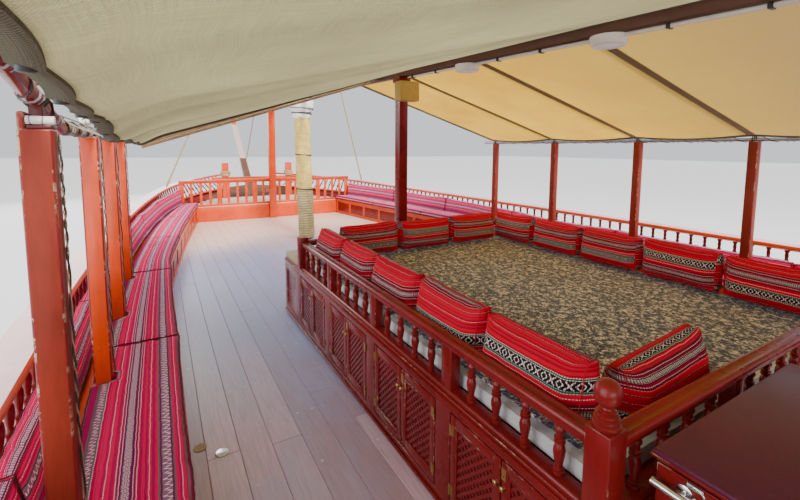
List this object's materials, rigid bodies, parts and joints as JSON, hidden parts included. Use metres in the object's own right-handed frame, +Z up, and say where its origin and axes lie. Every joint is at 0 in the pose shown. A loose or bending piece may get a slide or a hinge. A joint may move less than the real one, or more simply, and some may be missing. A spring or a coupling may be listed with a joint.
{
  "type": "dhow sailing boat",
  "caption": "Wooden dhow with a raked stem, a lateen yard, an awning, side benches and a railed seating platform.",
  "frame": {"origin": "on the waterline, on the centre line, between the aft and fore perpendiculars", "axes": "+X forward, +Y to port, +Z up"},
  "size_m": [22.29, 5.955, 11.9994],
  "materials": {
    "oiled_wood": "oiled planking, satin",
    "deck_wood": "worn painted planks",
    "paint": "gloss red-brown paint on wood",
    "matting": "woven palm matting",
    "white_plastic": "white moulded plastic",
    "bare_wood": "bare weathered poles",
    "canvas": "open-weave shade cloth",
    "red_weave": "striped red weave",
    "rope": "laid rope",
    "foam": "white foam cover",
    "rug": "flowered pile",
    "bronze": "cast bronze",
    "iron": "painted casting"
  },
  "bodies": {
    "boat": {"hull": "oiled_wood", "backbone": "oiled_wood", "mast": "oiled_wood", "bulwark_port": "oiled_wood", "bulwark_starboard": "oiled_wood", "main_deck": "deck_wood", "foredeck": "deck_wood", "quarterdeck": "deck_wood", "transom": "paint", "fore_rail": "paint", "mooring_bitts": "paint", "fore_post": "paint", "mid_post": "paint", "aft_post": "paint", "ridge_beam": "paint", "cap_rail_port": "paint", "cap_rail_starboard": "paint", "awning_posts_port": "paint", "awning_posts_starboard": "paint", "bench_port": "paint", "bench_starboard": "paint", "platform": "paint", "platform_rail": "paint", "counter": "paint", "helm_stand": "paint", "mast_padding": "matting", "ridge_lights": "white_plastic", "awning_frame_port": "bare_wood", "awning_frame_starboard": "bare_wood", "awning_port": "canvas", "awning_starboard": "canvas", "seat_cushions_port": "red_weave", "seat_cushions_starboard": "red_weave", "back_cushions_port": "red_weave", "back_cushions_starboard": "red_weave", "bolsters_port": "red_weave", "bolsters_starboard": "red_weave", "bolsters_fore": "red_weave", "bolsters_aft": "red_weave", "shroud_port": "rope", "shroud_starboard": "rope", "forestay": "rope", "platform_pad": "foam", "platform_rug": "rug", "engine": "iron"},
    "rudder": {"rudder": "oiled_wood"},
    "helm_wheel": {"helm_wheel": "oiled_wood"},
    "propeller": {"propeller": "bronze"},
    "yard": {"yard": "bare_wood", "furled_sail": "canvas"},
    "counter_lid": {"counter_lid": "paint"},
    "door_port_1a": {"door_port_1a": "paint"},
    "door_port_1b": {"door_port_1b": "paint"},
    "door_port_2a": {"door_port_2a": "paint"},
    "door_port_2b": {"door_port_2b": "paint"},
    "door_port_3a": {"door_port_3a": "paint"},
    "door_port_3b": {"door_port_3b": "paint"},
    "door_port_4a": {"door_port_4a": "paint"},
    "door_port_4b": {"door_port_4b": "paint"}
  },
  "joints": [
    {"name": "rudder_swing", "type": "hinge", "parent": "boat", "child": "rudder", "pos_m": [-10.365, 0, 0], "axis": [-0.3304, 0, 0.9439], "range_deg": [-35, 35]},
    {"name": "helm_turn", "type": "hinge", "parent": "boat", "child": "helm_wheel", "pos_m": [-8.55, 0, 2.42], "axis": [1, 0, 0], "range_deg": [-425, 425]},
    {"name": "propeller_spin", "type": "hinge", "parent": "boat", "child": "propeller", "pos_m": [-9.18, 0, -0.83], "axis": [1, 0, 0], "continuous": true},
    {"name": "yard_peak", "type": "hinge", "parent": "boat", "child": "yard", "pos_m": [2.6774, -0.43, 7.7], "axis": [0, 1, 0], "range_deg": [-20, 28]},
    {"name": "counter_lid_hinge", "type": "hinge", "parent": "boat", "child": "counter_lid", "pos_m": [-5.58, 0.61, 1.871], "axis": [0, -1, 0], "range_deg": [0, 85]},
    {"name": "door_port_1a_hinge", "type": "hinge", "parent": "boat", "child": "door_port_1a", "pos_m": [-4.5425, 1.24, 1.385], "axis": [0, 0, 1], "range_deg": [0, 95]},
    {"name": "door_port_1b_hinge", "type": "hinge", "parent": "boat", "child": "door_port_1b", "pos_m": [-3.9225, 1.24, 1.385], "axis": [0, 0, -1], "range_deg": [0, 95]},
    {"name": "door_port_2a_hinge", "type": "hinge", "parent": "boat", "child": "door_port_2a", "pos_m": [-3.7975, 1.24, 1.385], "axis": [0, 0, 1], "range_deg": [0, 95]},
    {"name": "door_port_2b_hinge", "type": "hinge", "parent": "boat", "child": "door_port_2b", "pos_m": [-3.1775, 1.24, 1.385], "axis": [0, 0, -1], "range_deg": [0, 95]},
    {"name": "door_port_3a_hinge", "type": "hinge", "parent": "boat", "child": "door_port_3a", "pos_m": [-3.0525, 1.24, 1.385], "axis": [0, 0, 1], "range_deg": [0, 95]},
    {"name": "door_port_3b_hinge", "type": "hinge", "parent": "boat", "child": "door_port_3b", "pos_m": [-2.4325, 1.24, 1.385], "axis": [0, 0, -1], "range_deg": [0, 95]},
    {"name": "door_port_4a_hinge", "type": "hinge", "parent": "boat", "child": "door_port_4a", "pos_m": [-2.3075, 1.24, 1.385], "axis": [0, 0, 1], "range_deg": [0, 95]},
    {"name": "door_port_4b_hinge", "type": "hinge", "parent": "boat", "child": "door_port_4b", "pos_m": [-1.6875, 1.24, 1.385], "axis": [0, 0, -1], "range_deg": [0, 95]}
  ],
  "couplings": [
    {"joint": "helm_turn", "follows": "rudder_swing", "ratio": 12}
  ]
}
